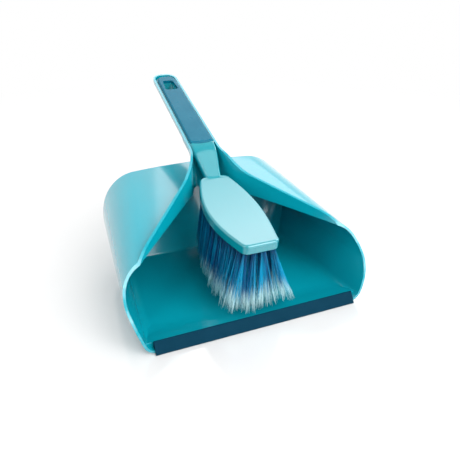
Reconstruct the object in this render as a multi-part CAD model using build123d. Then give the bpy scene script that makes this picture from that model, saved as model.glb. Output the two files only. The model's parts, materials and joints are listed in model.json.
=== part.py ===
from build123d import *

# Dust pan with a rubber lip, and a hand brush that nests in its trough handle.
# Millimetres, +Z up, +Y from the lip towards the handle's end, X across.
# The origin is on the ground, at the middle of the pan's flat underside.

import os
from math import cos, radians, sin, tan

os.makedirs("parts", exist_ok=True)

# ---------------------------------------------------------------- pan shell
WALL = 2.4  # thickness of the pan's walls
PAN_FRONT = -86.5  # Y of the side walls' toes
PAN_REAR = 81.5  # Y of the rear wall at the floor
FRONT_HALF_WIDTH = 111.3  # at the floor, at the toes
REAR_HALF_WIDTH = 98.0  # at the floor, at the rear wall
WALL_LEAN = 19.5  # degrees that the walls lean outwards
ROOF_HEIGHT = 73.2  # of the roof's middle above the toes
ROOF_SLOPE = 8.6  # degrees, rising to the rear
ROOF_CROWN = 7.5  # the roof's middle above its sides
FRONT_SHOULDER_RADIUS = 22.0  # outside, from the roof to the side walls, at the toes
REAR_SHOULDER_RADIUS = 41.0  # the same at the rear wall's foot
FLOOR_RADIUS = 14.0  # outside, from the floor to the side walls
CORNER_RADIUS = 32.0  # rear corners, seen from above
CORNER_REACH = 5.0  # of the rear corners' arcs past the side walls
REAR_RADIUS = 5.5  # outside, round the rear wall's border

# the side walls' raked front edges and the opening's rim, seen from the side
TOE_HEIGHT = 8.0  # upright part of each edge
BROW_BACK = 9.0  # the edge's middle, behind the toe
BROW_HEIGHT = 36.5
CHEEK_BACK = 28.0  # the top front corner of each wall, behind the toe
CHEEK_HEIGHT = 56.0
TEMPLE_BACK = 39.5  # where the edge turns onto the roof, behind the toe
TEMPLE_HEIGHT = 74.0
COLLAR_START = -53.0  # Y where the collar rises out of the roof
COLLAR_Y = -20.0  # the rim's straight part over the roof starts here
COLLAR_Z = 89.8
RISE_Y = 32.0  # where the rim starts its climb to the handle
RISE_Z = 111.6
RISE_TOP_Y = 49.5  # where the climb reaches the line of the handle's rim
RIM_RADIUS = 30.0  # of both bends

# the opening's V in the roof, seen from above
APEX_Y = 69.0  # where the trough's sides start to flare
FLARE_RADIUS = 46.0
V_ANGLE = 41.7  # degrees of each leg from Y
V_LOWEST = 57.0  # the V cuts nothing below this height

# front ramp and rubber lip
LIP_FRONT = -90.0  # Y of the lip's thin front edge
LIP_LENGTH = 210.0
LIP_HEIGHT = 11.6
LIP_DEPTH = 9.5
LIP_CREST = 7.2  # the crest's distance behind the front edge
LIP_EDGE = 1.2  # height of the blunt front edge
LIP_CREST_RADIUS = 1.4
RAMP_LENGTH = 34.0  # the floor rises over this length towards the lip
RAMP_HEIGHT = 8.6
TONGUE_REACH = 4.4  # of the pan's edge into the lip
TONGUE_HEIGHT = 2.6  # of the tongue's underside above the ground
TONGUE_THICKNESS = 2.4
TONGUE_END_GAP = 6.0  # from the tongue's ends to the lip's ends

# ------------------------------------------------- trough handle of the pan
TROUGH_SLOPE = 18.1  # degrees, rising to the rear
ROOT_Y = 64.0  # origin of the handle's frame, on the rim's line
ROOT_Z = 133.4
TROUGH_LENGTH = 167.0  # along the slope, from the root to the end
ROOT_HALF_WIDTH = 17.2  # outside
END_HALF_WIDTH = 15.4
TROUGH_DEPTH = 13.0  # outside
TROUGH_END_RADIUS = 12.5
TROUGH_FLOOR_RADIUS = 10.5  # outside, along the bottom
TROUGH_DRAFT = 1.5  # degrees
TROUGH_OVERLAP = 22.0  # the trough starts this far behind its root
THROAT_END_Y = 92.0  # the throat's walls run this far back
NAPE_Y = 28.0  # the throat's back wall, extended down to the ground
NAPE_RADIUS = 6.0  # from the throat's back to the handle's underside
THROAT_RADIUS = 9.0  # outside, along the throat's back corners

# hang hole through both handles
HOLE_SETBACK = 32.0  # from the trough's end to the hole's middle
HOLE_LENGTH = 22.0
HOLE_WIDE = 17.0
HOLE_NARROW = 12.6
HOLE_RADIUS = 3.5
HOLE_GAP = 0.4  # the pan's hole is this much larger all round

# ------------------------------------------------------------ brush handle
NEST_GAP = 0.4  # between the brush's handle and the trough
NEST_END_GAP = 6.0  # the same at the trough's end
CORE_START = 9.0  # along the slope, where the neck ends
GRIP_START = 11.0  # the sides' lower ends, along the slope
GRIP_BULGE = 2.5  # the lower end's middle is this much nearer the neck
GRIP_DEPTH = 1.4  # of the grip's bed below the trough's rim
GRIP_CROWN = 2.4  # of the grip's top above the rim
GRIP_MARGIN = 0.6  # hard edge left round the grip
GRIP_RADIUS = 2.2  # along the grip's top
BED_GAP = 0.05

# --------------------------------------------------------------- brush neck
NECK_FOOT_INSET = 5.6  # the foot's middle, ahead of the block's rear end
NECK_FOOT_SINK = 5.6  # the foot's middle, below the block's top
NECK_FOOT_WIDTH = 17.4
NECK_FOOT_THICKNESS = 8.2
NECK_FOOT_ANGLE = 25.0  # degrees
NECK_WAIST_Y = 47.3
NECK_WAIST_Z = 111.8
NECK_WAIST_WIDTH = 20.0
NECK_WAIST_THICKNESS = 10.4
NECK_ANGLE = 37.6  # degrees at the waist
NECK_BEND = -1.5  # along the handle's slope, where the neck bends into it
NECK_BEND_WIDTH = 27.6
NECK_BEND_THICKNESS = 8.0
NECK_BEND_ANGLE = 25.0
NECK_BEND_LIFT = 0.8  # of the bend's underside above the handle's
NECK_END_LIFT = 1.0  # of the neck's end above the handle's underside
NECK_CROWN = 1.0  # of the neck's end above the trough's rim
NECK_TOP_RADIUS = 3.2  # along the neck's upper edges
NECK_UNDER_RADIUS = 3.9  # along its lower edges

# -------------------------------------------------------------- brush block
BLOCK_REAR_Y = 39.9  # the top's rear end
BLOCK_REAR_Z = 110.4
BLOCK_SLOPE = 9.0  # degrees, from its front end up to its rear end
BLOCK_SAG = 5.0  # of its middle below the straight line between its ends
BLOCK_LENGTH = 127.0
BLOCK_THICKNESS = 10.0
BLOCK_BEVEL = 2.4  # round the top
BLOCK_FOOT_BEVEL = 1.0  # round the underside
FRONT_HALF = 17.4
MIDDLE_HALF = 27.7
MIDDLE_PLACE = 73.0  # the widest place, behind the front
REAR_HALF = 15.0
FRONT_FLARE = 0.24  # sideways run of the outline for each mm back, at the front
REAR_FLARE = -0.42
BLOCK_FRONT_RADIUS = 7.0
BLOCK_REAR_RADIUS = 9.0

# ------------------------------------------------------------------- tufts
ROW_PITCH = 7.7
FIRST_ROW = 7.0  # the first row's distance behind the block's front
LAST_ROW = 12.0  # least distance from the last row to the block's rear end
TUFT_PITCH = 8.2  # along a row
EDGE_MARGIN = 5.2  # from the outer tufts to the block's edge
SOCKET_DEPTH = 7.0
TUFT_RADIUS = 2.2
TUFT_GAP = 0.05  # round a tuft in its socket, and under its anchor
TIP_GAP = 0.3  # between neighbouring tips
TUFT_LENGTH = 66.0  # out of the block
SIDE_TRIM = 5.0  # the outer tufts of a row are this much shorter
FRONT_SIDE_FAN = 19.0  # degrees of lean at the block's greatest half width, first row
REAR_SIDE_FAN = 8.0  # the same in the last row
FRONT_FAN = 9.0  # degrees that the first row leans forwards
REAR_FAN = 2.0  # degrees that the last row leans back
ANCHOR_LENGTH = 3.6
ANCHOR_HEIGHT = 1.5
ANCHOR_THICKNESS = 0.4

# ------------------------------------------------------------ shared frames
ROOF_RISE = tan(radians(ROOF_SLOPE))
TROUGH_RISE = tan(radians(TROUGH_SLOPE))
LEAN_RISE = tan(radians(WALL_LEAN))
LIP_REAR = LIP_FRONT + LIP_DEPTH
NEST_INSET = WALL + NEST_GAP
ROW_COUNT = 1 + int((BLOCK_LENGTH - FIRST_ROW - LAST_ROW) / ROW_PITCH)
BEYOND = 60.0  # how far cutting solids reach past what they cut
NEAR = 1.0  # how close to a surface an edge counts as lying on it

trough_frame = Plane(
    origin=(0, ROOT_Y, ROOT_Z),
    x_dir=(1, 0, 0),
    z_dir=(0, -sin(radians(TROUGH_SLOPE)), cos(radians(TROUGH_SLOPE))),
)
block_frame = Plane(
    origin=(
        0,
        BLOCK_REAR_Y - BLOCK_LENGTH * cos(radians(BLOCK_SLOPE)),
        BLOCK_REAR_Z - BLOCK_LENGTH * sin(radians(BLOCK_SLOPE)),
    ),
    x_dir=(1, 0, 0),
    z_dir=(0, -sin(radians(BLOCK_SLOPE)), cos(radians(BLOCK_SLOPE))),
)


def along(y, front, rear):
    """A size at Y that changes evenly from the toes to the rear wall's foot."""
    return front + (y - PAN_FRONT) / (PAN_REAR - PAN_FRONT) * (rear - front)


def base_half(y):
    """Half width of the pan's floor at Y."""
    return along(y, FRONT_HALF_WIDTH, REAR_HALF_WIDTH)


def rim_z(y):
    """Height of the handle's straight rim at Y."""
    return ROOT_Z + TROUGH_RISE * (y - ROOT_Y)


def trough_half(y):
    """Outer half width of the trough at Y."""
    share = (y - ROOT_Y) / (TROUGH_LENGTH * cos(radians(TROUGH_SLOPE)))
    return ROOT_HALF_WIDTH + share * (END_HALF_WIDTH - ROOT_HALF_WIDTH)


def side_prism(face):
    """A solid across the whole width from a face drawn in Y and Z."""
    return extrude(Plane.YZ * face, FRONT_HALF_WIDTH + BEYOND, both=True)


# ---------------------------------------------------------------- pan shell
def hood_section(inset, y):
    """The hood's closed outline at Y: flat floor, leaning walls, crowned roof."""
    slant = inset / cos(radians(WALL_LEAN))
    crest = ROOF_HEIGHT + ROOF_RISE * (y - PAN_FRONT) - inset
    eave = crest - ROOF_CROWN
    foot = (base_half(y) - slant + LEAN_RISE * inset, inset)
    top = (base_half(y) - slant + LEAN_RISE * eave, eave)
    roof = ThreePointArc(top, (0, crest), (-top[0], top[1]))
    rest = Polyline((-top[0], top[1]), (-foot[0], foot[1]), foot, top)
    face = make_face(roof + rest)
    shoulder = along(y, FRONT_SHOULDER_RADIUS, REAR_SHOULDER_RADIUS)
    face = fillet(face.vertices().group_by(Axis.Y)[-1], shoulder - inset)
    face = fillet(face.vertices().group_by(Axis.Y)[0], FLOOR_RADIUS - inset)
    return Plane(origin=(0, y, 0), x_dir=(1, 0, 0), z_dir=(0, -1, 0)) * face


def rear_outline(inset, z):
    """From above, the bound that gives the hood its rear wall and round corners."""
    grow = LEAN_RISE * z - inset / cos(radians(WALL_LEAN))
    ahead = PAN_FRONT - BEYOND
    rear = PAN_REAR + grow
    front_half = base_half(ahead) + CORNER_REACH + grow
    half = base_half(rear) + CORNER_REACH + grow
    face = make_face(Polyline((-front_half, ahead), (front_half, ahead), (half, rear), (-half, rear), close=True))
    return Plane.XY.offset(z) * fillet(face.vertices().group_by(Axis.Y)[-1], CORNER_RADIUS)


def hood(inset, front):
    """The pan's closed form, drawn in by inset on every side but the front."""
    lengthwise = loft([hood_section(inset, front), hood_section(inset, PAN_REAR + BEYOND)], ruled=True)
    upright = loft([rear_outline(inset, -BEYOND), rear_outline(inset, ROOT_Z + BEYOND)], ruled=True)
    body = lengthwise & upright
    rear_faces = body.faces().filter_by(lambda f: f.normal_at().Y > 0.25)
    edges = [edge for face in rear_faces for edge in face.edges()]
    border = [edge for edge in edges if edges.count(edge) == 1]
    return fillet(border, REAR_RADIUS - inset)


def opening_plan(inset, front):
    """The opening from above: a V whose legs flare out of the trough's sides."""
    half = trough_half(APEX_Y) - inset
    radius = FLARE_RADIUS - WALL + inset
    turn = radians(V_ANGLE)
    far_half = trough_half(THROAT_END_Y) - inset
    bend = (half + radius * (1 - cos(turn / 2)), APEX_Y - radius * sin(turn / 2))
    leg_top = (half + radius * (1 - cos(turn)), APEX_Y - radius * sin(turn))
    leg_foot = (leg_top[0] + (leg_top[1] - front) * tan(turn), front)
    side = (
        Line((far_half, THROAT_END_Y), (half, APEX_Y))
        + ThreePointArc((half, APEX_Y), bend, leg_top)
        + Line(leg_top, leg_foot)
    )
    ends = Line((-far_half, THROAT_END_Y), (far_half, THROAT_END_Y)) + Line(leg_foot, (-leg_foot[0], front))
    return make_face(side + mirror(side, Plane.YZ) + ends)


def throat_back(inset):
    """The throat's back from the side: up its back wall, then along under the handle."""
    foot = NAPE_Y - inset / cos(radians(WALL_LEAN))
    base = (TROUGH_DEPTH - inset) / cos(radians(TROUGH_SLOPE))
    corner_y = (foot + LEAN_RISE * (rim_z(0) - base)) / (1 - LEAN_RISE * TROUGH_RISE)
    low = (foot + LEAN_RISE * V_LOWEST, V_LOWEST)
    end = (THROAT_END_Y, rim_z(THROAT_END_Y) - base)
    bend = FilletPolyline(low, (corner_y, rim_z(corner_y) - base), end, radius=NAPE_RADIUS + inset)
    return low, bend, end


def throat_form(inset, front, top):
    """A prism over the V between the throat's back and an upper border."""
    low, bend, end = throat_back(inset)
    border = Line(end, top[0]) + top[1] + Polyline(top[2], (front, V_LOWEST), low)
    form = side_prism(make_face(bend + border)) & extrude(opening_plan(inset, front), ROOT_Z + 3 * BEYOND)
    corners = form.edges().filter_by(lambda e: on_back(e, inset))
    return fillet(corners, THROAT_RADIUS - inset)


def on_back(edge, inset):
    """Whether an edge runs along the throat's back, on either side."""
    middle = edge.center()
    foot = NAPE_Y - inset / cos(radians(WALL_LEAN))
    base = (TROUGH_DEPTH - inset) / cos(radians(TROUGH_SLOPE))
    behind = middle.Y > foot + LEAN_RISE * middle.Z - NEAR
    under = middle.Z < rim_z(middle.Y) - base + NEAR
    inside = V_LOWEST + NEAR < middle.Z and middle.Y < THROAT_END_Y - NEAR
    return behind and under and inside and abs(middle.X) > NEAR


def throat():
    """The collar round the V and the walls that run up from it into the trough."""
    slope = (RISE_Z - COLLAR_Z) / (RISE_Y - COLLAR_Y)
    start = (COLLAR_START, COLLAR_Z + slope * (COLLAR_START - COLLAR_Y))
    behind = (THROAT_END_Y, rim_z(THROAT_END_Y))
    climb = (RISE_TOP_Y, rim_z(RISE_TOP_Y))
    rim = FilletPolyline(behind, climb, (RISE_Y, RISE_Z), start, radius=RIM_RADIUS)
    return throat_form(0, start[0], (behind, rim, start))


def opening(front):
    """What is open above the pan: the V, the throat and the air over the trough."""
    top = rim_z(THROAT_END_Y) + BEYOND
    return throat_form(WALL, front, ((THROAT_END_Y, top), Line((THROAT_END_Y, top), (front, top)), (front, top)))


def trough_outline(inset, start, level, end_gap):
    """The trough in its own frame, at a level above its rim, short of its end by a gap."""
    grow = level * tan(radians(TROUGH_DRAFT)) - inset
    taper = (ROOT_HALF_WIDTH - END_HALF_WIDTH) / TROUGH_LENGTH
    near_half = ROOT_HALF_WIDTH + grow - taper * start
    far_half = END_HALF_WIDTH + grow
    far = TROUGH_LENGTH + grow - end_gap
    corners = [(-near_half, start), (near_half, start), (far_half, far), (-far_half, far)]
    face = make_face(Polyline(*corners, close=True))
    return Plane.XY.offset(level) * fillet(face.vertices().group_by(Axis.Y)[-1], TROUGH_END_RADIUS + grow)


def trough(inset, start, top, end_gap=0):
    """The trough's form between its bottom and a level above its rim."""
    outlines = [trough_outline(inset, start, level, end_gap) for level in (inset - TROUGH_DEPTH, top)]
    form = loft(outlines, ruled=True)
    bottom = form.faces().sort_by(Axis.Z)[0].edges()
    bottom = bottom.filter_by(lambda e: e.center().Y > start + 1)
    return fillet(bottom, TROUGH_FLOOR_RADIUS - inset)


def hang_hole(grow):
    """The hang hole's prism, in the trough's frame."""
    middle = TROUGH_LENGTH - HOLE_SETBACK
    near = middle - HOLE_LENGTH / 2 - grow
    far = middle + HOLE_LENGTH / 2 + grow
    wide = HOLE_WIDE / 2 + grow
    narrow = HOLE_NARROW / 2 + grow
    face = make_face(Polyline((-wide, near), (wide, near), (narrow, far), (-narrow, far), close=True))
    return extrude(fillet(face.vertices(), HOLE_RADIUS + grow), TROUGH_DEPTH + BEYOND, both=True)


def front_air():
    """Everything in front of the side walls' raked edges and above the rim's start."""
    toe = (PAN_FRONT, TOE_HEIGHT)
    collar = (COLLAR_Y, COLLAR_Z)
    slope = (RISE_Z - COLLAR_Z) / (RISE_Y - COLLAR_Y)
    edge = Spline(
        toe,
        (PAN_FRONT + BROW_BACK, BROW_HEIGHT),
        (PAN_FRONT + CHEEK_BACK, CHEEK_HEIGHT),
        (PAN_FRONT + TEMPLE_BACK, TEMPLE_HEIGHT),
        collar,
        tangents=[(0, 1), (1, slope)],
    )
    ahead = PAN_FRONT - BEYOND
    over = (COLLAR_Y, COLLAR_Z + 2 * BEYOND)
    outside = Polyline(collar, over, (ahead, over[1]), (ahead, -1), (PAN_FRONT, -1), toe)
    return side_prism(make_face(edge + outside))


def ramp():
    """The floor's rise behind the lip."""
    foot = (LIP_REAR + RAMP_LENGTH, WALL)
    nose = (LIP_REAR, RAMP_HEIGHT)
    crown = Spline(nose, foot, tangents=[(1, -0.25), (1, 0)])
    below = Polyline(foot, (foot[0], 0), (LIP_REAR, 0), nose)
    return side_prism(make_face(crown + below))


def tongue():
    """The pan's front edge that reaches into the lip."""
    length = LIP_LENGTH - 2 * TONGUE_END_GAP
    size = (length, TONGUE_REACH + WALL, TONGUE_THICKNESS)
    place = Pos(0, LIP_REAR - TONGUE_REACH, TONGUE_HEIGHT)
    return place * Box(*size, align=(Align.CENTER, Align.MIN, Align.MIN))


def pan_body():
    """The pan: hood, raked side walls, collar and trough handle in one moulding."""
    outside = hood(0, PAN_FRONT)
    body = outside + throat() + trough_frame * trough(0, TROUGH_OVERLAP, 0)
    body -= hood(WALL, PAN_FRONT - LIP_DEPTH)
    body += ramp() & outside
    body -= opening(PAN_FRONT - BEYOND)
    body -= trough_frame * trough(WALL, TROUGH_OVERLAP, TROUGH_DEPTH)
    body -= front_air()
    lip_room = Box(LIP_LENGTH, LIP_DEPTH, 2 * LIP_HEIGHT, align=(Align.CENTER, Align.MIN, Align.CENTER))
    body -= Pos(0, LIP_FRONT, 0) * lip_room
    body += tongue()
    return body - trough_frame * hang_hole(HOLE_GAP)


def lip_strip():
    """The rubber lip: a wedge that stands on the ground and grips the pan's tongue."""
    crest = (LIP_FRONT + LIP_CREST, LIP_HEIGHT)
    back = (LIP_REAR, RAMP_HEIGHT)
    border = [(LIP_FRONT, 0), (LIP_FRONT, LIP_EDGE), crest, back, (LIP_REAR, 0)]
    face = make_face(Polyline(*border, close=True))
    face = fillet(face.vertices().group_by(Axis.Y)[-1], LIP_CREST_RADIUS)
    return extrude(Plane.YZ * face, LIP_LENGTH / 2, both=True) - tongue()


# ------------------------------------------------------------- brush body
def strap(width, thickness, place):
    """The neck's section on a plane: a flat bar with round upper and lower corners."""
    bar = Rectangle(width, thickness)
    bar = fillet(bar.vertices().group_by(Axis.Y)[-1], NECK_TOP_RADIUS)
    return place * fillet(bar.vertices().group_by(Axis.Y)[0], NECK_UNDER_RADIUS)


def neck_plane(y, z, angle):
    """A plane across the neck: local X is the object's X, local Y points up."""
    slope = radians(angle)
    return Plane(origin=(0, y, z), x_dir=(1, 0, 0), z_dir=(0, -cos(slope), -sin(slope)))


def neck():
    """The waisted neck from the block up to the handle."""
    taper = (ROOT_HALF_WIDTH - END_HALF_WIDTH) / TROUGH_LENGTH
    under = NEST_INSET - TROUGH_DEPTH
    end_low = under + NECK_END_LIFT
    end_width = 2 * (ROOT_HALF_WIDTH - taper * CORE_START - NEST_INSET)
    end_thickness = NECK_CROWN - end_low
    foot = block_frame.from_local_coords((0, BLOCK_LENGTH - NECK_FOOT_INSET, -NECK_FOOT_SINK))
    bend = trough_frame.from_local_coords((0, NECK_BEND, under + NECK_BEND_LIFT + NECK_BEND_THICKNESS / 2))
    end = trough_frame.from_local_coords((0, CORE_START + end_thickness / 4, end_low + end_thickness / 2))
    sections = [
        strap(NECK_FOOT_WIDTH, NECK_FOOT_THICKNESS, neck_plane(foot.Y, foot.Z, NECK_FOOT_ANGLE)),
        strap(NECK_WAIST_WIDTH, NECK_WAIST_THICKNESS, neck_plane(NECK_WAIST_Y, NECK_WAIST_Z, NECK_ANGLE)),
        strap(NECK_BEND_WIDTH, NECK_BEND_THICKNESS, neck_plane(bend.Y, bend.Z, NECK_BEND_ANGLE)),
        strap(end_width, end_thickness, neck_plane(end.Y, end.Z, TROUGH_SLOPE)),
    ]
    return loft(sections)


def grip_form(grow, bottom, top):
    """The grip's prism in the trough's frame, with its lower end curved in."""
    taper = (ROOT_HALF_WIDTH - END_HALF_WIDTH) / TROUGH_LENGTH
    edge = NEST_INSET + GRIP_MARGIN - grow
    near = GRIP_START - grow
    near_half = ROOT_HALF_WIDTH - taper * near - edge
    far_half = END_HALF_WIDTH - edge
    far = TROUGH_LENGTH - NEST_END_GAP - edge
    sides = Polyline((near_half, near), (far_half, far), (-far_half, far), (-near_half, near))
    bulge = ThreePointArc((-near_half, near), (0, near - GRIP_BULGE), (near_half, near))
    face = make_face(sides + bulge)
    face = fillet(face.vertices().group_by(Axis.Y)[-1], TROUGH_END_RADIUS - edge)
    return extrude(Plane.XY.offset(bottom) * face, top - bottom)


def block_half(behind):
    """Half width of the block at a distance behind its front."""
    ahead = behind < MIDDLE_PLACE
    end_half = FRONT_HALF if ahead else REAR_HALF
    end_place = 0 if ahead else BLOCK_LENGTH
    share = (MIDDLE_PLACE - behind) / (MIDDLE_PLACE - end_place)
    return MIDDLE_HALF - (MIDDLE_HALF - end_half) * share**2


def block_profile():
    """The block from the side, in its own frame: two equal arcs that sag between its ends."""
    arcs = [
        ThreePointArc((0, level), (BLOCK_LENGTH / 2, level - BLOCK_SAG), (BLOCK_LENGTH, level))
        for level in (0, -BLOCK_THICKNESS)
    ]
    ends = [Line(arcs[0] @ end, arcs[1] @ end) for end in (0, 1)]
    return make_face(arcs[0] + arcs[1] + ends[0] + ends[1])


def block_sag(behind):
    """How far the block's arcs lie below its frame, at a distance behind its front."""
    share = 2 * behind / BLOCK_LENGTH - 1
    return BLOCK_SAG * (1 - share**2)


def bowed_faces(slab):
    """The block's underside and its top."""
    return slab.faces().filter_by(GeomType.CYLINDER).sort_by(SortBy.AREA)[-2:].sort_by(Axis.Z)


def block():
    """The brush's block: a bowed boat shape, widest past its middle."""
    side = Spline(
        (FRONT_HALF, 0),
        (MIDDLE_HALF, MIDDLE_PLACE),
        (REAR_HALF, BLOCK_LENGTH),
        tangents=[(FRONT_FLARE, 1), (REAR_FLARE, 1)],
    )
    ends = Line((REAR_HALF, BLOCK_LENGTH), (-REAR_HALF, BLOCK_LENGTH)) + Line((-FRONT_HALF, 0), (FRONT_HALF, 0))
    face = make_face(side + mirror(side, Plane.YZ) + ends)
    face = fillet(face.vertices().group_by(Axis.Y)[0], BLOCK_FRONT_RADIUS)
    face = fillet(face.vertices().group_by(Axis.Y)[-1], BLOCK_REAR_RADIUS)
    upright = extrude(face, BLOCK_THICKNESS + 2 * BLOCK_SAG, both=True)
    slab = upright & extrude(Plane.YZ * block_profile(), MIDDLE_HALF + BEYOND, both=True)
    slab = fillet(bowed_faces(slab)[0].edges(), BLOCK_FOOT_BEVEL)
    slab = fillet(bowed_faces(slab)[1].edges(), BLOCK_BEVEL)
    return block_frame * slab


# ------------------------------------------------------------------- tufts
def row_roots(row):
    """A row's distance behind the block's front, and its tufts' places across."""
    behind = FIRST_ROW + row * ROW_PITCH
    half = block_half(behind) - EDGE_MARGIN
    steps = max(1, round(2 * half / TUFT_PITCH))
    return behind, [half * (2 * step / steps - 1) for step in range(steps + 1)]


def row_fan(row):
    """The row's run forwards for each mm down."""
    share = row / (ROW_COUNT - 1)
    return tan(radians(FRONT_FAN)) * (1 - share) - tan(radians(REAR_FAN)) * share


def side_fan(row, across):
    """A tuft's run outwards for each mm down."""
    share = row / (ROW_COUNT - 1)
    widest = tan(radians(FRONT_SIDE_FAN)) * (1 - share) + tan(radians(REAR_SIDE_FAN)) * share
    return widest * across / (MIDDLE_HALF - EDGE_MARGIN)


def tuft_circle(row, behind, across, level, radius_x, radius_y):
    """A tuft's section in the block's frame, at a level above the block's underside."""
    x = across - side_fan(row, across) * level
    y = behind + row_fan(row) * level
    z = level - BLOCK_THICKNESS - block_sag(behind)
    return Plane(origin=(x, y, z)) * Ellipse(radius_x, radius_y)


def socket(row, behind, across):
    """The hole that a tuft is set in."""
    radius = TUFT_RADIUS + TUFT_GAP
    ends = [tuft_circle(row, behind, across, level, radius, radius) for level in (-1, SOCKET_DEPTH)]
    return loft(ends, ruled=True)


def tuft(row, behind, across, spacing, half):
    """One tuft of bristles as a solid that widens to its tip."""
    top = SOCKET_DEPTH - ANCHOR_HEIGHT - TUFT_GAP
    tip = SIDE_TRIM * (across / half) ** 2 - TUFT_LENGTH
    tip_x = (spacing - side_fan(row, spacing) * tip - TIP_GAP) / 2
    spread = (row_fan(0) - row_fan(ROW_COUNT - 1)) / (ROW_COUNT - 1)
    tip_y = (ROW_PITCH - spread * tip - TIP_GAP) / 2
    radii = [(top, TUFT_RADIUS, TUFT_RADIUS), (0, TUFT_RADIUS, TUFT_RADIUS), (tip, tip_x, tip_y)]
    sections = [tuft_circle(row, behind, across, *radius) for radius in radii]
    return block_frame * loft(sections, ruled=True)


def anchor(row, behind, across):
    """The metal staple that holds a tuft at its socket's bottom."""
    level = SOCKET_DEPTH - ANCHOR_HEIGHT
    x = across - side_fan(row, across) * SOCKET_DEPTH
    y = behind + row_fan(row) * SOCKET_DEPTH
    size = (ANCHOR_LENGTH, ANCHOR_THICKNESS, ANCHOR_HEIGHT)
    box = Box(*size, align=(Align.CENTER, Align.CENTER, Align.MIN))
    return block_frame * Pos(x, y, level - BLOCK_THICKNESS - block_sag(behind)) * box


def brush_body():
    """The brush's hard part: block with its sockets, neck and handle core."""
    core = trough_frame * trough(NEST_INSET, CORE_START, 0, NEST_END_GAP)
    body = block() + neck() + core
    body -= trough_frame * grip_form(BED_GAP, -GRIP_DEPTH, TROUGH_DEPTH)
    body -= trough_frame * hang_hole(0)
    sockets = [socket(row, behind, x) for row in range(ROW_COUNT) for behind, xs in [row_roots(row)] for x in xs]
    return body - block_frame * Compound(sockets)


def handle_grip():
    """The soft grip laid into the handle, round the hang hole."""
    grip = grip_form(0, BED_GAP - GRIP_DEPTH, GRIP_CROWN)
    grip = fillet(grip.faces().sort_by(Axis.Z)[-1].edges(), GRIP_RADIUS)
    return trough_frame * (grip - hang_hole(0))


# ------------------------------------------------------------------- parts
parts = {
    "pan_body": pan_body(),
    "lip_strip": lip_strip(),
    "brush_body": brush_body(),
    "handle_grip": handle_grip(),
}
anchors = []
for row in range(ROW_COUNT):
    behind, places = row_roots(row)
    spacing = places[1] - places[0]
    parts[f"tuft_row_{row + 1:02d}"] = Compound([tuft(row, behind, x, spacing, places[-1]) for x in places])
    anchors += [anchor(row, behind, x) for x in places]
parts["tuft_anchors"] = Compound(anchors)
for name, shape in parts.items():
    export_step(shape, f"parts/{name}.step")
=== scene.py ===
"""Dust pan with a rubber lip, and a hand brush that nests in the pan's trough handle.

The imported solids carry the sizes. This script gives each of them its finish, rounds the edges of
the mouldings, and sets every bristle of the brush. Metres, +Z up, +Y from the lip towards the
handle's end, X across. Fields that say so are in millimetres.
"""

from __future__ import annotations

import json
import logging
import math
from dataclasses import dataclass, field
from enum import Enum
from typing import Any, Mapping, Sequence, Union

import bpy
import numpy as np
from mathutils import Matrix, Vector

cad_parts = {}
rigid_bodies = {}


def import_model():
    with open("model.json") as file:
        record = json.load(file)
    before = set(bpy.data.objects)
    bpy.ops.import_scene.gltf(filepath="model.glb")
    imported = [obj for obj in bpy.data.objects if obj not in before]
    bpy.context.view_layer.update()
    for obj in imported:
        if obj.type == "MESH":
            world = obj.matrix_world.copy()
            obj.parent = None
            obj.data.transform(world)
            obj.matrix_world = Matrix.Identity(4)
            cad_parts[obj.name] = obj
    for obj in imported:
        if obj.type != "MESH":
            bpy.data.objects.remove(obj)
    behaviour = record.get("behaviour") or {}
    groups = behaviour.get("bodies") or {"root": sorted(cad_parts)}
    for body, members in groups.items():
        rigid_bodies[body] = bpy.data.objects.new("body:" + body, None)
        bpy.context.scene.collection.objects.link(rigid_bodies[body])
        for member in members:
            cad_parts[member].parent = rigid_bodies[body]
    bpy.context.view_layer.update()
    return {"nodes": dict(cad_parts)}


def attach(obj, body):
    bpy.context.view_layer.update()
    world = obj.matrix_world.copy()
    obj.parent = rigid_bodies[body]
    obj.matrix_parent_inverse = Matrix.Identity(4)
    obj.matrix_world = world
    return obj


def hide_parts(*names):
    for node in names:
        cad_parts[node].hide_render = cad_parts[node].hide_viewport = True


LOG = logging.getLogger("dust_pan_set")
MM = 0.001
MICROMETRE = 1e-6

Colour = tuple[float, float, float]
Place = tuple[float, float, float]
Number = Union[float, "Signal"]


class Body(Enum):
    """The two bodies of the set."""

    PAN = "pan"
    BRUSH = "brush"


class Slot(Enum):
    """The record's material slots."""

    SHELL = "shell"
    LIP = "lip"
    BRUSH_PLASTIC = "brush_plastic"
    GRIP = "grip"
    BRISTLE = "bristle"


def paint(red: int, green: int, blue: int) -> Colour:
    """A display colour turned into linear light.

    Args:
        red: Red, 0 to 255.
        green: Green, 0 to 255.
        blue: Blue, 0 to 255.

    Returns:
        Linear red, green and blue.
    """
    shares = np.array([red, green, blue]) / 255.0
    linear = np.where(shares <= 0.04045, shares / 12.92, ((shares + 0.055) / 1.055) ** 2.4)
    return tuple(float(v) for v in linear)


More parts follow.
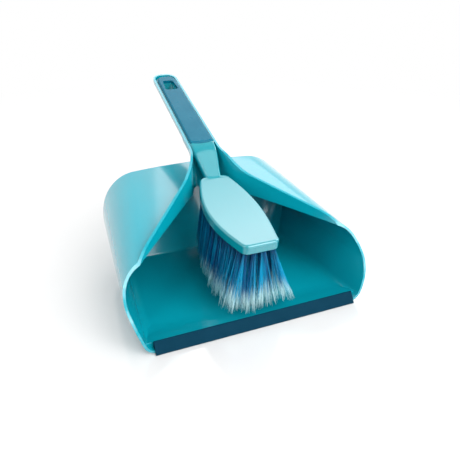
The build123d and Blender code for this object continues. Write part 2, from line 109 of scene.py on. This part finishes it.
# ------------------------------------------------------------------ shader maths
@dataclass(frozen=True)
class Signal:
    """A number that a node gives out. Arithmetic on it adds Math nodes."""

    shop: "NodeShop"
    socket: bpy.types.NodeSocket

    def _maths(self, operation: str, *values: Number) -> "Signal":
        """One Math node on these values."""
        return self.shop.signal("ShaderNodeMath", {"operation": operation}, dict(enumerate(values)))

    def __add__(self, other: Number) -> "Signal":
        """Sum."""
        return self._maths("ADD", self, other)

    def __mul__(self, other: Number) -> "Signal":
        """Product."""
        return self._maths("MULTIPLY", self, other)

    def __sub__(self, other: Number) -> "Signal":
        """Difference."""
        return self._maths("SUBTRACT", self, other)

    def __rsub__(self, other: Number) -> "Signal":
        """Difference, the other way round."""
        return self._maths("SUBTRACT", other, self)

    def ramped(self, low: float, high: float) -> "Signal":
        """0 below low, 1 above high, and smooth between them."""
        settings = {"interpolation_type": "SMOOTHSTEP"}
        inputs = {"Value": self, "From Min": low, "From Max": high}
        return self.shop.signal("ShaderNodeMapRange", settings, inputs)


class NodeShop:
    """Adds nodes to one tree."""

    def __init__(self, tree: bpy.types.NodeTree, output: str) -> None:
        """Empties a tree down to its output.

        Args:
            tree: The tree.
            output: The output node's type.
        """
        self.tree = tree
        self.tree.nodes.clear()
        self.output = self.node(output, {}, {})

    def node(self, kind: str, settings: Mapping[str, Any], inputs: Mapping[Any, Any]) -> bpy.types.Node:
        """Adds a node.

        Args:
            kind: The node's type.
            settings: Its own settings.
            inputs: Values, signals or sockets for its inputs, by name or number.

        Returns:
            The node.
        """
        made = self.tree.nodes.new(kind)
        for key, value in settings.items():
            setattr(made, key, value)
        for key, value in inputs.items():
            socket = made.inputs[key]
            if isinstance(value, Signal):
                self.tree.links.new(value.socket, socket)
            elif isinstance(value, bpy.types.NodeSocket):
                self.tree.links.new(value, socket)
            elif isinstance(value, tuple) and len(value) == 3 and socket.type == "RGBA":
                socket.default_value = (*value, 1.0)
            else:
                socket.default_value = value
        return made

    def signal(self, kind: str, settings: Mapping[str, Any], inputs: Mapping[Any, Any]) -> Signal:
        """Adds a node and wraps its first output that is in use."""
        made = self.node(kind, settings, inputs)
        return Signal(self, next(s for s in made.outputs if s.enabled))

    def read(self, kind: str, output: str) -> Signal:
        """Adds a node without settings and wraps the output of that name."""
        return Signal(self, self.node(kind, {}, {}).outputs[output])


class PaintShop(NodeShop):
    """Makes one material's nodes."""

    def __init__(self, name: str) -> None:
        """Starts a material with only its output.

        Args:
            name: The material's name.
        """
        self.material = bpy.data.materials.new(name)
        self.material.use_nodes = True
        super().__init__(self.material.node_tree, "ShaderNodeOutputMaterial")

    def place(self, stretch: Place = (1.0, 1.0, 1.0)) -> bpy.types.NodeSocket:
        """The point on the piece, in metres, stretched along each axis."""
        where = self.node("ShaderNodeTexCoord", {}, {}).outputs["Object"]
        return self.node("ShaderNodeMapping", {}, {"Vector": where, "Scale": stretch}).outputs["Vector"]

    def noise(self, grain: float, detail: float = 2.0, stretch: Place = (1.0, 1.0, 1.0)) -> Signal:
        """Noise from 0 to 1.

        Args:
            grain: Size of its blobs in millimetres.
            detail: Octaves of finer noise.
            stretch: Scale of each axis before the noise is read.

        Returns:
            The noise's value.
        """
        inputs = {"Vector": self.place(stretch), "Scale": 1 / MM / grain, "Detail": detail, "Roughness": 0.5}
        made = self.node("ShaderNodeTexNoise", {}, inputs)
        return Signal(self, made.outputs[0])

    def attribute(self, name: str) -> Signal:
        """A number kept on the mesh."""
        made = self.node("ShaderNodeAttribute", {"attribute_name": name}, {})
        return Signal(self, made.outputs["Fac"])

    def blend(self, factor: Number, first: Any, second: Any) -> bpy.types.NodeSocket:
        """Mixes two colours.

        Args:
            factor: 0 gives the first colour and 1 the second.
            first: A colour or a colour socket.
            second: A colour or a colour socket.

        Returns:
            The mixed colour's socket.
        """
        made = self.node("ShaderNodeMix", {"data_type": "RGBA"}, {0: factor, 6: first, 7: second})
        return made.outputs[2]

    def bump(self, height: Signal, depth: float) -> bpy.types.NodeSocket:
        """A normal that follows a height of that many millimetres."""
        inputs = {"Strength": 1.0, "Distance": depth * MM, "Height": height}
        return self.node("ShaderNodeBump", {}, inputs).outputs["Normal"]

    def finish(self, **inputs: Any) -> bpy.types.Material:
        """Adds the Principled shader and closes the material."""
        named = {key.replace("_", " "): value for key, value in inputs.items()}
        shader = self.node("ShaderNodeBsdfPrincipled", {}, named)
        self.tree.links.new(shader.outputs[0], self.output.inputs["Surface"])
        return self.material


# ---------------------------------------------------------------------- finishes
@dataclass(frozen=True)
class MouldedPlastic:
    """Glossy moulded plastic with a faint orange peel and fine rub marks. Sizes in millimetres."""

    name: str
    colour: Colour
    deep: Colour
    roughness: float
    shine: float = 0.5
    coat: float = 1.0
    coat_roughness: float = 0.1
    index: float = 1.5
    cloud_grain: float = 55.0
    cloud_share: float = 0.35
    cloud_roughness: float = 0.05
    speck_grain: float = 0.9
    speck_share: float = 0.08
    rub_grain: float = 1.6
    rub_along: Place = (1.0, 0.08, 1.0)
    rub_roughness: float = 0.06
    roughness_drop: float = 0.03
    peel_grain: float = 2.6
    peel_depth: float = 0.005

    def make(self) -> bpy.types.Material:
        """Builds the material."""
        shop = PaintShop(self.name)
        cloud = shop.noise(self.cloud_grain)
        speck = shop.noise(self.speck_grain, 1.0)
        rub = shop.noise(self.rub_grain, 3.0, self.rub_along).ramped(0.62, 0.78)
        uneven = cloud.ramped(0.3, 0.7) * self.cloud_share + speck * self.speck_share
        tone = shop.blend(uneven, self.colour, self.deep)
        least = self.roughness - self.roughness_drop
        rough = cloud * self.cloud_roughness + rub * self.rub_roughness + least
        normal = shop.bump(shop.noise(self.peel_grain), self.peel_depth)
        return shop.finish(
            Base_Color=tone,
            Roughness=rough,
            IOR=self.index,
            Specular_IOR_Level=self.shine,
            Coat_Weight=self.coat,
            Coat_Roughness=self.coat_roughness,
            Normal=normal,
        )


@dataclass(frozen=True)
class SoftRubber:
    """Matte rubber with a fine stipple. Sizes in millimetres."""

    name: str
    colour: Colour
    deep: Colour
    roughness: float
    stipple_grain: float
    stipple_depth: float
    shine: float
    index: float = 1.5
    cloud_grain: float = 18.0
    cloud_share: float = 0.5
    cloud_roughness: float = 0.06
    stipple_share: float = 0.2
    roughness_drop: float = 0.03

    def make(self) -> bpy.types.Material:
        """Builds the material."""
        shop = PaintShop(self.name)
        stipple = shop.noise(self.stipple_grain)
        cloud = shop.noise(self.cloud_grain).ramped(0.3, 0.7)
        uneven = cloud * self.cloud_share + stipple * self.stipple_share
        tone = shop.blend(uneven, self.colour, self.deep)
        least = self.roughness - self.roughness_drop
        return shop.finish(
            Base_Color=tone,
            Roughness=cloud * self.cloud_roughness + least,
            IOR=self.index,
            Specular_IOR_Level=self.shine,
            Normal=shop.bump(stipple, self.stipple_depth),
        )


@dataclass(frozen=True)
class BristleFibre:
    """Dyed fibre whose split ends fade to a pale tint, with painted shade towards the roots and on the rear
    rows.
    """

    name: str
    root: Colour
    dark: Colour
    bright: Colour
    tip: Colour
    shaded_share: float = 0.45
    fade_share: float = 0.2
    roughness: float = 0.28
    added_roughness: float = 0.25
    index: float = 1.38

    def make(self) -> bpy.types.Material:
        """Builds the material from each bristle's tone, which carries painted shade on the rear rows, and
        the place along it.
        """
        shop = PaintShop(self.name)
        along = shop.attribute("along")
        tone = shop.attribute("tone")
        fade = shop.attribute("fade")
        dyed_and_rear_shade = shop.blend(tone, self.dark, self.bright)
        # painted shade: the colour darkens towards the roots, deep in the tuft
        shaded = shop.blend(along.ramped(0.0, self.shaded_share), self.root, dyed_and_rear_shade)
        pale = (along - fade).ramped(0.0, self.fade_share)
        return shop.finish(
            Base_Color=shop.blend(pale, shaded, self.tip),
            Roughness=pale * self.added_roughness + self.roughness,
            IOR=self.index,
        )


@dataclass(frozen=True)
class DrawnSteel:
    """Thin drawn steel of the staples that hold the tufts. Sizes in millimetres."""

    name: str
    colour: Colour
    roughness: float = 0.25
    mark_roughness: float = 0.2
    mark_grain: float = 0.25
    mark_along: Place = (0.1, 1.0, 1.0)

    def make(self) -> bpy.types.Material:
        """Builds the material with drawing marks along X."""
        shop = PaintShop(self.name)
        marks = shop.noise(self.mark_grain, 2.0, self.mark_along)
        rough = marks * self.mark_roughness + self.roughness
        return shop.finish(Base_Color=self.colour, Metallic=1.0, Roughness=rough)


@dataclass
class Finishes:
    """Every material of the set, made once."""

    shell: bpy.types.Material = field(init=False)
    brush: bpy.types.Material = field(init=False)
    grip: bpy.types.Material = field(init=False)
    lip: bpy.types.Material = field(init=False)
    bristle: bpy.types.Material = field(init=False)
    steel: bpy.types.Material = field(init=False)

    def __post_init__(self) -> None:
        """Builds the materials."""
        shell = MouldedPlastic(
            "turquoise_shell",
            colour=paint(3, 151, 168),
            deep=paint(1, 143, 162),
            roughness=0.2,
            shine=0.35,
            coat=0.85,
        )
        brush = MouldedPlastic(
            "turquoise_brush", colour=paint(10, 136, 148), deep=paint(6, 129, 143), roughness=0.16
        )
        grip = SoftRubber(
            "soft_grip",
            colour=paint(0, 98, 122),
            deep=paint(0, 90, 115),
            roughness=0.3,
            stipple_grain=0.7,
            stipple_depth=0.012,
            shine=0.14,
        )
        lip = SoftRubber(
            "lip_rubber",
            colour=paint(0, 49, 69),
            deep=paint(0, 44, 63),
            roughness=0.6,
            stipple_grain=0.9,
            stipple_depth=0.02,
            shine=0.05,
        )
        fibre = BristleFibre(
            "bristle_fibre",
            root=paint(0, 68, 118),
            dark=paint(0, 84, 142),
            bright=paint(6, 180, 226),
            tip=paint(216, 252, 255),
        )
        self.shell = shell.make()
        self.brush = brush.make()
        self.grip = grip.make()
        self.lip = lip.make()
        self.bristle = fibre.make()
        self.steel = DrawnSteel("drawn_steel", (0.6, 0.6, 0.62)).make()


# ------------------------------------------------------------------------ meshes
def mesh_from(name: str, points: np.ndarray, faces: np.ndarray) -> bpy.types.Object:
    """Puts arrays into a new mesh object at the origin.

    Args:
        name: The piece's name.
        points: One row of X, Y and Z for each point, in metres.
        faces: One row of point numbers for each face.

    Returns:
        The object, smooth shaded.
    """
    mesh = bpy.data.meshes.new(name)
    mesh.from_pydata(points, [], faces.tolist())
    mesh.polygons.foreach_set("use_smooth", np.ones(len(faces), bool))
    mesh.update()
    piece = bpy.data.objects.new(name, mesh)
    bpy.context.scene.collection.objects.link(piece)
    return piece


def keep_number(piece: bpy.types.Object, name: str, values: np.ndarray) -> None:
    """Keeps one number for each point of a piece under a name."""
    layer = piece.data.attributes.new(name, "FLOAT", "POINT")
    layer.data.foreach_set("value", np.ascontiguousarray(values, np.float32).ravel())


def welded_copy(node: bpy.types.Object, name: str) -> bpy.types.Object:
    """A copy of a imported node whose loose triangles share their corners.

    Corners within a micrometre become one, and a triangle that loses a corner is dropped.

    Args:
        node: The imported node's object.
        name: The new piece's name.

    Returns:
        The new piece.
    """
    mesh = node.data
    points = np.empty(len(mesh.vertices) * 3, np.float32)
    mesh.vertices.foreach_get("co", points)
    corners = np.empty(len(mesh.loops), np.int32)
    mesh.loops.foreach_get("vertex_index", corners)
    steps = np.round(points.reshape(-1, 3) / MICROMETRE).astype(np.int64)
    _, first, joined = np.unique(steps, axis=0, return_index=True, return_inverse=True)
    faces = joined.reshape(-1)[corners].reshape(-1, 3)
    a, b, c = faces.T
    whole = faces[(a != b) & (b != c) & (c != a)]
    return mesh_from(name, points.reshape(-1, 3)[first].astype(float), whole)


def eased(piece: bpy.types.Object, radius: float, keen: float = 38.0) -> None:
    """Rounds the edges of a piece that are sharper than an angle.

    Args:
        piece: The piece.
        radius: Width of the rounding in millimetres.
        keen: Least angle in degrees between two faces at a sharp edge.
    """
    bevel = piece.modifiers.new("eased_edges", "BEVEL")
    bevel.width = radius * MM
    bevel.segments = 2
    bevel.limit_method = "ANGLE"
    bevel.angle_limit = math.radians(keen)
    bevel.harden_normals = False
    even = piece.modifiers.new("even_normals", "WEIGHTED_NORMAL")
    even.keep_sharp = True


def dress(
    piece: bpy.types.Object, material: bpy.types.Material, body: Body, slot: Slot, *nodes: str
) -> None:
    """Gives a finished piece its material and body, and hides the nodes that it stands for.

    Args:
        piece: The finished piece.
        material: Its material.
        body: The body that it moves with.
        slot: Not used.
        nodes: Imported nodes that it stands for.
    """
    piece.data.materials.clear()
    piece.data.materials.append(material)
    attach(piece, body.value)
    if nodes:
        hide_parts(*nodes)
    stands_for = ", ".join(nodes) or "nothing"
    LOG.info("%s: %d faces, stands for %s", piece.name, len(piece.data.polygons), stands_for)


# --------------------------------------------------------------------------- pan
@dataclass
class Pan:
    """The pan's moulding and its rubber lip. Radii in millimetres."""

    edge_radius: float = 0.8
    lip_radius: float = 0.4

    def build(self, nodes: Mapping[str, bpy.types.Object], finishes: Finishes) -> None:
        """Builds and dresses the pan.

        Args:
            nodes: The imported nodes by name.
            finishes: The materials.
        """
        shell = welded_copy(nodes["pan_body"], "pan_shell")
        eased(shell, self.edge_radius)
        dress(shell, finishes.shell, Body.PAN, Slot.SHELL, "pan_body")
        lip = welded_copy(nodes["lip_strip"], "pan_lip")
        eased(lip, self.lip_radius)
        dress(lip, finishes.lip, Body.PAN, Slot.LIP, "lip_strip")


# ------------------------------------------------------------------------- brush
def slant(degrees: float) -> float:
    """How far a line runs sideways for each millimetre down, at an angle from straight down."""
    return math.tan(math.radians(degrees))


@dataclass(frozen=True)
class Straying:
    """How single bristles differ from each other, and the painted shade on the rear rows. Lengths in
    millimetres.

    Attributes:
        clump_spread: Spread of a clump's bristles, as a share of the tuft's radius.
        disc_limit: Furthest place from the tuft's middle, as such a share.
        cut: How unevenly the ends were cut.
        wear: How unevenly the ends have worn down.
        most_worn: Most that a bristle has lost.
        curl: How far the tips curl aside.
        thinnest: Least share of the bristles' radius.
        thickest: Largest share of the bristles' radius.
        taper: Share of the radius that is lost at the tip.
        clump_tone: Weight of its clump in a bristle's tone.
        own_tone: Weight of the bristle itself in its tone.
        darker: What is taken off the weighted tone.
        rear_painted_shade: Share of the tone that is lost at the rear row, as painted shade.
        fade_start: Where the pale end starts at the front row, as a share of the bristle.
        rear_painted_shade_fade: How much later it starts at the rear row, as painted shade that hides the
            pale ends there.
        fade_spread: Spread of that start between bristles.
        least_fade: Earliest start.
        most_fade: Latest start.
    """

    clump_spread: float = 0.1
    disc_limit: float = 1.08
    cut: float = 0.9
    wear: float = 1.2
    most_worn: float = 6.0
    curl: float = 0.8
    thinnest: float = 0.8
    thickest: float = 1.15
    taper: float = 0.55
    clump_tone: float = 1.1
    own_tone: float = 0.7
    darker: float = 0.4
    rear_painted_shade: float = 0.25
    fade_start: float = 0.64
    rear_painted_shade_fade: float = 0.5
    fade_spread: float = 0.075
    least_fade: float = 0.48
    most_fade: float = 0.98


@dataclass
class BristleField:
    """The block's rows of tufts, bristle by bristle. Sizes in millimetres, fans in degrees.

    Tufts left of the middle keep only the left sweep's share of the side fan.
    """

    front_y: float = -85.54
    top_z: float = 90.53
    slope: float = 9.0
    sag: float = 5.0
    length: float = 127.0
    thickness: float = 10.0
    front_half: float = 17.4
    middle_half: float = 27.7
    middle_place: float = 73.0
    rear_half: float = 15.0
    rows: int = 15
    row_pitch: float = 7.7
    first_row: float = 7.0
    tuft_pitch: float = 8.2
    edge_margin: float = 5.2
    tuft_radius: float = 2.2
    sunk: float = 4.0
    bristle_length: float = 66.0
    side_trim: float = 3.0
    front_side_fan: float = 24.5
    rear_side_fan: float = 3.0
    fan_fall: float = 1.7
    left_sweep: float = 0.5
    front_fan: float = 9.0
    rear_fan: float = 2.0
    root_fill: float = 0.9
    tip_fill: float = 1.12
    spread_power: float = 1.15
    clumps: int = 8
    per_clump: int = 9
    radius: float = 0.21
    rings: int = 7
    sides: int = 3
    straying: Straying = Straying()

    def block_half(self, behind: float) -> float:
        """Half width of the block at a distance behind its front."""
        ahead = behind < self.middle_place
        reach = self.middle_place if ahead else self.middle_place - self.length
        end = self.front_half if ahead else self.rear_half
        return self.middle_half - (self.middle_half - end) * ((self.middle_place - behind) / reach) ** 2

    def tufts(self, row: int) -> np.ndarray:
        """Places of a row's tufts across the block."""
        half = self.block_half(self.first_row + row * self.row_pitch) - self.edge_margin
        steps = max(1, round(2 * half / self.tuft_pitch))
        return np.linspace(-half, half, steps + 1)

    def block_sag(self, behind: float) -> float:
        """How far the bowed block lies below the line between its ends."""
        return self.sag * (1 - (2 * behind / self.length - 1) ** 2)

    def side_slant(self, share: float) -> float:
        """Outward slant of a row's outermost tuft. Share runs from 0 in front to 1 at the rear."""
        front = slant(self.front_side_fan) * (1 - share) ** self.fan_fall
        return front + slant(self.rear_side_fan) * share

    def to_object(self, across: np.ndarray, behind: np.ndarray, up: np.ndarray) -> np.ndarray:
        """Points of the block's frame in the set's frame, in metres.

        The block's frame starts at the middle of its front top edge and rises to the rear by
        the block's slope.
        """
        turn = math.radians(self.slope)
        y = self.front_y + behind * math.cos(turn) - up * math.sin(turn)
        z = self.top_z + behind * math.sin(turn) + up * math.cos(turn)
        return np.stack([across, y, z], axis=-1) * MM

    def row_piece(self, row: int, rng: np.random.Generator) -> bpy.types.Object:
        """One row of bristles as a mesh of tapered tubes.

        Args:
            row: The row's number from the front.
            rng: The seeded source of small differences.

        Returns:
            The row's piece.
        """
        places = self.tufts(row)
        tuft_x = np.repeat(places, self.clumps * self.per_clump)
        disc = self._disc(len(places), rng)
        length = self._lengths(tuft_x / places[-1], rng)
        centres = self._centres(row, tuft_x, disc, length, rng)
        points = self._tubes(centres, rng)
        faces = self._tube_faces(len(tuft_x))
        piece = mesh_from(f"bristles_row_{row + 1:02d}", points.reshape(-1, 3), faces)
        self._keep_dye_and_shade(piece, row, len(tuft_x), rng)
        return piece

    def _share(self, row: int) -> float:
        """A row's place from 0 in front to 1 at the rear."""
        return row / (self.rows - 1)

    def _depths(self) -> np.ndarray:
        """The rings' places along a bristle, from 0 at its root to 1 at its tip."""
        return np.linspace(0, 1, self.rings)[None, :]

    def _disc(self, tufts: int, rng: np.random.Generator) -> np.ndarray:
        """Each bristle's place in its tuft, from about -1 to 1 across and along the block.

        Bristles of a clump lie close together, so darker gaps open between the clumps.
        """
        shape = (tufts, self.clumps, self.per_clump, 2)
        turn = rng.uniform(0, 2 * np.pi, shape[:2])
        reach = np.sqrt((np.arange(self.clumps) + 0.5) / self.clumps)[None, :]
        clump = np.stack([reach * np.cos(turn), reach * np.sin(turn)], axis=-1)
        middles = np.broadcast_to(clump[:, :, None, :], shape).reshape(-1, 2)
        own = rng.normal(0, self.straying.clump_spread, middles.shape)
        return np.clip(middles + own, -self.straying.disc_limit, self.straying.disc_limit)

    def _lengths(self, aside: np.ndarray, rng: np.random.Generator) -> np.ndarray:
        """Each bristle's free length: trimmed towards the sides, and ragged.

        Args:
            aside: Each bristle's tuft, from -1 at the row's left end to 1 at its right.
            rng: The seeded source of small differences.

        Returns:
            Lengths in millimetres.
        """
        stray = self.straying
        count = len(aside)
        ragged = rng.normal(0, stray.cut, count) - np.abs(rng.normal(0, stray.wear, count))
        trim = self.side_trim * aside**2
        return self.bristle_length - trim + np.clip(ragged, -stray.most_worn, stray.cut)

    def _centres(
        self, row: int, tuft_x: np.ndarray, disc: np.ndarray, length: np.ndarray, rng: np.random.Generator
    ) -> np.ndarray:
        """Points along the middle of each bristle.

        A bristle leans with its tuft, spreads from its place in the tuft by the spread power of
        its depth, and curls by the square of that.

        Args:
            row: The row's number from the front.
            tuft_x: Each bristle's tuft, in millimetres across.
            disc: Each bristle's place in its tuft.
            length: Each bristle's free length.
            rng: The seeded source of small differences.

        Returns:
            Bristles by rings by X, Y and Z, in metres.
        """
        share = self._share(row)
        places = self.tufts(row)
        spacing = places[1] - places[0]
        outermost = self.middle_half - self.edge_margin
        widest = self.side_slant(share)
        side_fan = widest * tuft_x / outermost * np.where(tuft_x < 0, self.left_sweep, 1.0)
        row_fan = slant(self.front_fan) * (1 - share) - slant(self.rear_fan) * share
        gap_fan = (slant(self.front_fan) + slant(self.rear_fan)) / (self.rows - 1)

        level = self.sunk - (self.sunk + length[:, None]) * self._depths()
        below = np.clip(-level, 0, None)
        grow = np.clip(below / self.bristle_length, 0, 1) ** self.spread_power
        root_spread = self.tuft_radius * self.root_fill
        tip_x = spacing * (1 + widest * self.bristle_length / outermost) / 2 * self.tip_fill
        tip_y = (self.row_pitch + gap_fan * self.bristle_length) / 2 * self.tip_fill
        spread_x = root_spread + (tip_x - root_spread) * grow
        spread_y = root_spread + (tip_y - root_spread) * grow
        curl = rng.normal(0, self.straying.curl, disc.shape)[:, None, :] * (grow**2)[:, :, None]

        root = self.first_row + row * self.row_pitch
        across = tuft_x[:, None] - side_fan[:, None] * level + disc[:, :1] * spread_x + curl[:, :, 0]
        behind = root + row_fan * level + disc[:, 1:] * spread_y + curl[:, :, 1]
        return self.to_object(across, behind, level - self.thickness - self.block_sag(root))

    def _tubes(self, centres: np.ndarray, rng: np.random.Generator) -> np.ndarray:
        """Corners of level rings round the bristles' middles, narrower towards the tips."""
        stray = self.straying
        count = len(centres)
        own = rng.uniform(stray.thinnest, stray.thickest, count)[:, None]
        thick = self.radius * MM * own * (1 - stray.taper * self._depths() ** 2)
        around = np.arange(self.sides) / self.sides * 2 * np.pi
        angle = around + rng.uniform(0, 2 * np.pi, count)[:, None, None]
        ring = np.stack([np.cos(angle), np.sin(angle), np.zeros_like(angle)], axis=-1)
        return centres[:, :, None, :] + ring * thick[:, :, None, None]

    def _keep_dye_and_shade(self, piece: bpy.types.Object, row: int, count: int, rng: np.random.Generator) -> None:
        """Keeps what the fibre's finish reads: the place along, the tone and where the fade starts. The tone
        and the fade's start both carry painted shade on the rear rows.
        """
        stray = self.straying
        share = self._share(row)
        clump_tone = np.repeat(rng.uniform(0, 1, count // self.per_clump), self.per_clump)
        own_tone = rng.uniform(0, 1, count)
        mixed = stray.clump_tone * clump_tone + stray.own_tone * own_tone - stray.darker
        # painted shade: the rear rows get a darker tone and pale ends that start later
        tone = np.clip(mixed, 0, 1) * (1 - stray.rear_painted_shade * share)
        start = rng.normal(stray.fade_start + stray.rear_painted_shade_fade * share**2, stray.fade_spread, count)
        fade = np.clip(start, stray.least_fade, stray.most_fade)
        each = (count, self.rings, self.sides)
        keep_number(piece, "along", np.broadcast_to(self._depths()[:, :, None], each))
        keep_number(piece, "tone", np.broadcast_to(tone[:, None, None], each))
        keep_number(piece, "fade", np.broadcast_to(fade[:, None, None], each))

    def _tube_faces(self, count: int) -> np.ndarray:
        """Faces of that many closed tubes, as triangles: two for each side of a ring, and two caps."""
        ring = np.arange(self.rings - 1)[:, None] * self.sides
        side = np.arange(self.sides)[None, :]
        after = (side + 1) % self.sides
        low, low_next = ring + side, ring + after
        high, high_next = low + self.sides, low_next + self.sides
        first_half = np.stack([low, high, high_next], -1).reshape(-1, 3)
        second_half = np.stack([low, high_next, low_next], -1).reshape(-1, 3)
        last = (self.rings - 1) * self.sides
        caps = np.array([[0, 1, 2], [last, last + 2, last + 1]])
        one = np.concatenate([first_half, second_half, caps])
        return (one[None] + np.arange(count)[:, None, None] * self.rings * self.sides).reshape(-1, 3)


@dataclass
class Brush:
    """The hand brush: hard body, soft grip and bristles. Radius in millimetres."""

    bristles: BristleField = field(default_factory=BristleField)
    edge_radius: float = 0.3
    seed: int = 11

    def build(self, nodes: Mapping[str, bpy.types.Object], finishes: Finishes) -> None:
        """Builds and dresses the brush.

        Args:
            nodes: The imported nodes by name.
            finishes: The materials.
        """
        body = welded_copy(nodes["brush_body"], "brush_moulding")
        eased(body, self.edge_radius)
        dress(body, finishes.brush, Body.BRUSH, Slot.BRUSH_PLASTIC, "brush_body")
        grip = welded_copy(nodes["handle_grip"], "brush_grip")
        eased(grip, self.edge_radius)
        dress(grip, finishes.grip, Body.BRUSH, Slot.GRIP, "handle_grip")
        rng = np.random.default_rng(self.seed)
        for row in range(self.bristles.rows):
            piece = self.bristles.row_piece(row, rng)
            dress(piece, finishes.bristle, Body.BRUSH, Slot.BRISTLE, f"tuft_row_{row + 1:02d}")
        anchors = nodes["tuft_anchors"]
        anchors.data.materials.clear()
        anchors.data.materials.append(finishes.steel)


# ------------------------------------------------------------------------ studio
@dataclass
class Lamp:
    """A soft white rectangular lamp."""

    name: str
    place: Place
    target: Place
    width: float
    height: float
    power: float

    def build(self) -> None:
        """Hangs the lamp and points it at its target."""
        data = bpy.data.lights.new(self.name, "AREA")
        data.shape = "RECTANGLE"
        data.size = self.width
        data.size_y = self.height
        data.energy = self.power
        lamp = bpy.data.objects.new(self.name, data)
        lamp.location = self.place
        aim = Vector(self.target) - Vector(self.place)
        lamp.rotation_euler = aim.to_track_quat("-Z", "Y").to_euler()
        bpy.context.scene.collection.objects.link(lamp)


@dataclass
class Studio:
    """Camera, pale floor, white surround and soft lamps."""

    eye: Place = (-0.1756, -0.4341, 0.3067)
    azimuth: float = 22.4
    elevation: float = 27.5
    lens: float = 39.13
    sensor: float = 36.0
    floor_half: float = 6.0
    floor_drop: float = 0.0004
    floor_colour: Colour = (0.62, 0.62, 0.62)
    floor_roughness: float = 0.12
    floor_coat_roughness: float = 0.09
    near_glow: float = 0.05
    near_edge: float = 0.3
    far_edge: float = 1.1
    rear_sky: float = 1.3
    front_sky: float = 0.3
    overhead_dim: float = 0.4
    rear_from: float = -0.3
    rear_full: float = 0.6
    overhead_from: float = 0.55
    overhead_full: float = 0.95

    def build(self) -> None:
        """Builds the studio."""
        self._camera()
        self._floor()
        self._surround()
        lamps = [
            Lamp("overhead_softbox", (0.7, -0.85, 1.35), (0.0, 0.0, 0.1), width=1.1, height=2.0, power=11.0),
            Lamp("left_strip", (-0.5, -0.4, 1.62), (0.0, 0.05, 0.1), width=0.3, height=0.6, power=3.0),
            Lamp("right_softbox", (1.3, 0.1, 0.98), (0.0, 0.0, 0.08), width=0.8, height=0.8, power=8.0),
            Lamp("front_key", (0.35, -1.35, 1.25), (0.0, -0.03, 0.05), width=1.5, height=0.9, power=19.0),
            Lamp("front_fill", (0.8, -1.6, 0.75), (0.0, -0.03, 0.06), width=2.4, height=1.2, power=25.0),
            Lamp("left_softbox", (-1.2, -0.4, 0.8), (0.0, 0.0, 0.06), width=0.9, height=0.9, power=6.0),
            Lamp("rear_softbox", (0.64, 1.11, 1.27), (0.0, 0.0, 0.08), width=1.0, height=0.85, power=4.2),
        ]
        for lamp in lamps:
            lamp.build()

    def _camera(self) -> None:
        """Sets the camera and makes it the scene's own."""
        turn, rise = math.radians(self.azimuth), math.radians(self.elevation)
        forward = (math.sin(turn) * math.cos(rise), math.cos(turn) * math.cos(rise), -math.sin(rise))
        data = bpy.data.cameras.new("portrait")
        data.lens = self.lens
        data.sensor_width = self.sensor
        camera = bpy.data.objects.new("portrait", data)
        camera.location = self.eye
        camera.rotation_euler = Vector(forward).to_track_quat("-Z", "Y").to_euler()
        bpy.context.scene.collection.objects.link(camera)
        bpy.context.scene.camera = camera

    def _floor(self) -> None:
        """Lays the floor, white to the eye where nothing shades it."""
        signs = ((-1, -1), (1, -1), (1, 1), (-1, 1))
        points = np.array([(x * self.floor_half, y * self.floor_half, -self.floor_drop) for x, y in signs])
        floor = mesh_from("studio_floor", points, np.array([[0, 1, 2, 3]]))
        shop = PaintShop("pale_floor")
        seen = shop.read("ShaderNodeLightPath", "Is Camera Ray")
        length = shop.node("ShaderNodeVectorMath", {"operation": "LENGTH"}, {0: shop.place()})
        away = Signal(shop, length.outputs["Value"])
        shader = shop.node(
            "ShaderNodeBsdfPrincipled",
            {},
            {
                "Base Color": self.floor_colour,
                "Roughness": self.floor_roughness,
                "Coat Weight": 1.0,
                "Coat Roughness": self.floor_coat_roughness,
                "Emission Color": (1.0, 1.0, 1.0),
                "Emission Strength": seen * self.near_glow,
            },
        )
        white = shop.node("ShaderNodeEmission", {}, {"Strength": 1.0})
        far = seen * away.ramped(self.near_edge, self.far_edge)
        mixed = shop.node("ShaderNodeMixShader", {}, {0: far, 1: shader.outputs[0], 2: white.outputs[0]})
        shop.tree.links.new(mixed.outputs[0], shop.output.inputs["Surface"])
        floor.data.materials.append(shop.material)

    def _surround(self) -> None:
        """Fills the surround.

        It is white to the eye. For everything else it is brightest low down behind the set,
        and dims overhead and behind the camera.
        """
        world = bpy.data.worlds.new("white_surround")
        bpy.context.scene.world = world
        world.use_nodes = True
        shop = NodeShop(world.node_tree, "ShaderNodeOutputWorld")
        toward = shop.read("ShaderNodeTexCoord", "Generated")
        parts = shop.node("ShaderNodeSeparateXYZ", {}, {0: toward})
        behind = Signal(shop, parts.outputs["Y"]).ramped(self.rear_from, self.rear_full)
        overhead = Signal(shop, parts.outputs["Z"]).ramped(self.overhead_from, self.overhead_full)
        sky = behind * (self.rear_sky - self.front_sky) + self.front_sky
        plain = sky * (1.0 - overhead * self.overhead_dim)
        seen = shop.read("ShaderNodeLightPath", "Is Camera Ray")
        strength = seen + (1.0 - seen) * plain
        back = shop.node("ShaderNodeBackground", {}, {"Color": (1.0, 1.0, 1.0), "Strength": strength})
        shop.tree.links.new(back.outputs[0], shop.output.inputs["Surface"])


def corners(bounds: Sequence[Any]) -> list[list[float]]:
    """Two corners as plain lists."""
    return [[float(v) for v in corner] for corner in bounds]


def main() -> None:
    """Builds the studio, the pan and the brush."""
    logging.basicConfig(level=logging.INFO, format="%(name)s %(message)s")
    for thing in list(bpy.data.objects):
        bpy.data.objects.remove(thing)
    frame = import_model()
    bpy.context.scene.view_settings.view_transform = "Standard"
    Studio().build()
    finishes = Finishes()
    Pan().build(frame["nodes"], finishes)
    Brush().build(frame["nodes"], finishes)


if __name__ == "__main__":
    main()
